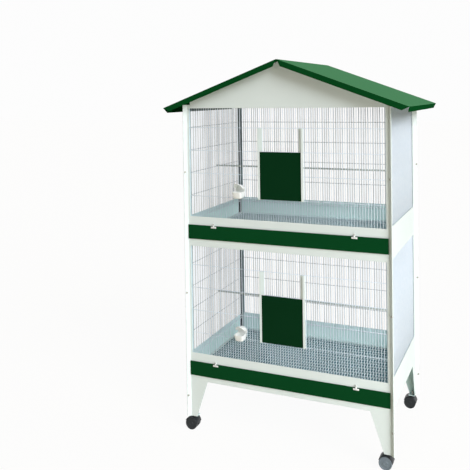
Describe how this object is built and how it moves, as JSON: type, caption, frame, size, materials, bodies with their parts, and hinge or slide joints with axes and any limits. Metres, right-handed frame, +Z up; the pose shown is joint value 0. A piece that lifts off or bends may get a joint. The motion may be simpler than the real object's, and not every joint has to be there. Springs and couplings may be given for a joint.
{
  "type": "bird aviary",
  "caption": "Tall wire bird aviary on casters, its stacked storeys with pull-out drawers, lift-up doors, perches and feeders under a pitched sheet roof.",
  "frame": {"origin": "middle of the base of the whole object's box, on the floor", "axes": "+Z up, -Y to the front where the doors and drawers are, +X to the right seen from the front"},
  "size_m": [0.9672, 0.676, 1.4778],
  "materials": {
    "white_enamel": "smooth white enamel on steel sheet",
    "white_wire": "white coating on welded steel wire",
    "green_enamel": "glossy dark green enamel on steel sheet",
    "zinc_sheet": "galvanised steel sheet",
    "zinc_wire": "galvanised welded wire",
    "perch_rod": "matt plastic rod",
    "white_plastic": "glossy moulded plastic",
    "black_plastic": "moulded black plastic",
    "wheel_plastic": "moulded grey plastic",
    "screw_steel": "zinc plated steel"
  },
  "bodies": {
    "cage": {"frame_front": "white_enamel", "frame_back": "white_enamel", "frame_left": "white_enamel", "frame_right": "white_enamel", "wire_panel_front_lower": "white_wire", "wire_panel_front_upper": "white_wire", "wire_panel_back_lower": "white_wire", "wire_panel_back_upper": "white_wire", "wire_panel_left_lower": "white_wire", "wire_panel_left_upper": "white_wire", "wire_panel_right_lower": "white_wire", "wire_panel_right_upper": "white_wire", "corner_screw_front_a_low": "screw_steel", "corner_screw_front_a_middle": "screw_steel", "corner_screw_front_a_high": "screw_steel", "corner_screw_front_b_low": "screw_steel", "corner_screw_front_b_middle": "screw_steel", "corner_screw_front_b_high": "screw_steel", "corner_screw_back_a_low": "screw_steel", "corner_screw_back_a_middle": "screw_steel", "corner_screw_back_a_high": "screw_steel", "corner_screw_back_b_low": "screw_steel", "corner_screw_back_b_middle": "screw_steel", "corner_screw_back_b_high": "screw_steel", "gable_front": "white_enamel", "gable_back": "white_enamel", "roof_slope_left": "green_enamel", "roof_slope_right": "green_enamel", "ridge_strip": "green_enamel", "door_guide_left_lower": "white_enamel", "door_guide_right_lower": "white_enamel", "door_guide_left_upper": "white_enamel", "door_guide_right_upper": "white_enamel", "floor_grate_lower": "zinc_wire", "floor_grate_upper": "zinc_wire", "perch_lower": "perch_rod", "perch_upper": "perch_rod", "feeder_lower": "white_plastic", "feeder_upper": "white_plastic"},
    "drawer_lower": {"drawer_front_lower": "green_enamel", "drawer_tray_lower": "zinc_sheet"},
    "drawer_upper": {"drawer_front_upper": "green_enamel", "drawer_tray_upper": "zinc_sheet"},
    "door_lower": {"door_lower": "green_enamel"},
    "door_upper": {"door_upper": "green_enamel"},
    "latch_left_lower": {"latch_left_lower": "white_plastic"},
    "latch_right_lower": {"latch_right_lower": "white_plastic"},
    "latch_left_upper": {"latch_left_upper": "white_plastic"},
    "latch_right_upper": {"latch_right_upper": "white_plastic"},
    "swivel_front_left": {"caster_housing_front_left": "black_plastic"},
    "swivel_front_right": {"caster_housing_front_right": "black_plastic"},
    "swivel_back_left": {"caster_housing_back_left": "black_plastic"},
    "swivel_back_right": {"caster_housing_back_right": "black_plastic"},
    "wheels_front_left": {"caster_wheels_front_left": "wheel_plastic"},
    "wheels_front_right": {"caster_wheels_front_right": "wheel_plastic"},
    "wheels_back_left": {"caster_wheels_back_left": "wheel_plastic"},
    "wheels_back_right": {"caster_wheels_back_right": "wheel_plastic"}
  },
  "joints": [
    {"name": "drawer_lower_slide", "type": "slide", "parent": "cage", "child": "drawer_lower", "axis": [0, -1, 0], "range_m": [0, 0.4]},
    {"name": "drawer_upper_slide", "type": "slide", "parent": "cage", "child": "drawer_upper", "axis": [0, -1, 0], "range_m": [0, 0.4]},
    {"name": "door_lower_slide", "type": "slide", "parent": "cage", "child": "door_lower", "axis": [0, 0, 1], "range_m": [0, 0.16]},
    {"name": "door_upper_slide", "type": "slide", "parent": "cage", "child": "door_upper", "axis": [0, 0, 1], "range_m": [0, 0.16]},
    {"name": "latch_left_lower_turn", "type": "hinge", "parent": "drawer_lower", "child": "latch_left_lower", "pos_m": [-0.2872, -0.2973, 0.27375], "axis": [0, 1, 0], "range_deg": [0, 90]},
    {"name": "latch_right_lower_turn", "type": "hinge", "parent": "drawer_lower", "child": "latch_right_lower", "pos_m": [0.2768, -0.2973, 0.27375], "axis": [0, 1, 0], "range_deg": [0, 90]},
    {"name": "latch_left_upper_turn", "type": "hinge", "parent": "drawer_upper", "child": "latch_left_upper", "pos_m": [-0.2872, -0.2973, 0.82475], "axis": [0, 1, 0], "range_deg": [0, 90]},
    {"name": "latch_right_upper_turn", "type": "hinge", "parent": "drawer_upper", "child": "latch_right_upper", "pos_m": [0.2768, -0.2973, 0.82475], "axis": [0, 1, 0], "range_deg": [0, 90]},
    {"name": "swivel_front_left_turn", "type": "hinge", "parent": "cage", "child": "swivel_front_left", "pos_m": [-0.39, -0.28, 0.05], "axis": [0, 0, 1], "continuous": true},
    {"name": "swivel_front_right_turn", "type": "hinge", "parent": "cage", "child": "swivel_front_right", "pos_m": [0.39, -0.28, 0.05], "axis": [0, 0, 1], "continuous": true},
    {"name": "swivel_back_left_turn", "type": "hinge", "parent": "cage", "child": "swivel_back_left", "pos_m": [-0.39, 0.234, 0.05], "axis": [0, 0, 1], "continuous": true},
    {"name": "swivel_back_right_turn", "type": "hinge", "parent": "cage", "child": "swivel_back_right", "pos_m": [0.39, 0.234, 0.05], "axis": [0, 0, 1], "continuous": true},
    {"name": "wheels_front_left_roll", "type": "hinge", "parent": "swivel_front_left", "child": "wheels_front_left", "pos_m": [-0.4, -0.28, 0.024], "axis": [0, 1, 0], "continuous": true},
    {"name": "wheels_front_right_roll", "type": "hinge", "parent": "swivel_front_right", "child": "wheels_front_right", "pos_m": [0.38, -0.28, 0.024], "axis": [0, 1, 0], "continuous": true},
    {"name": "wheels_back_left_roll", "type": "hinge", "parent": "swivel_back_left", "child": "wheels_back_left", "pos_m": [-0.4, 0.234, 0.024], "axis": [0, 1, 0], "continuous": true},
    {"name": "wheels_back_right_roll", "type": "hinge", "parent": "swivel_back_right", "child": "wheels_back_right", "pos_m": [0.38, 0.234, 0.024], "axis": [0, 1, 0], "continuous": true}
  ]
}
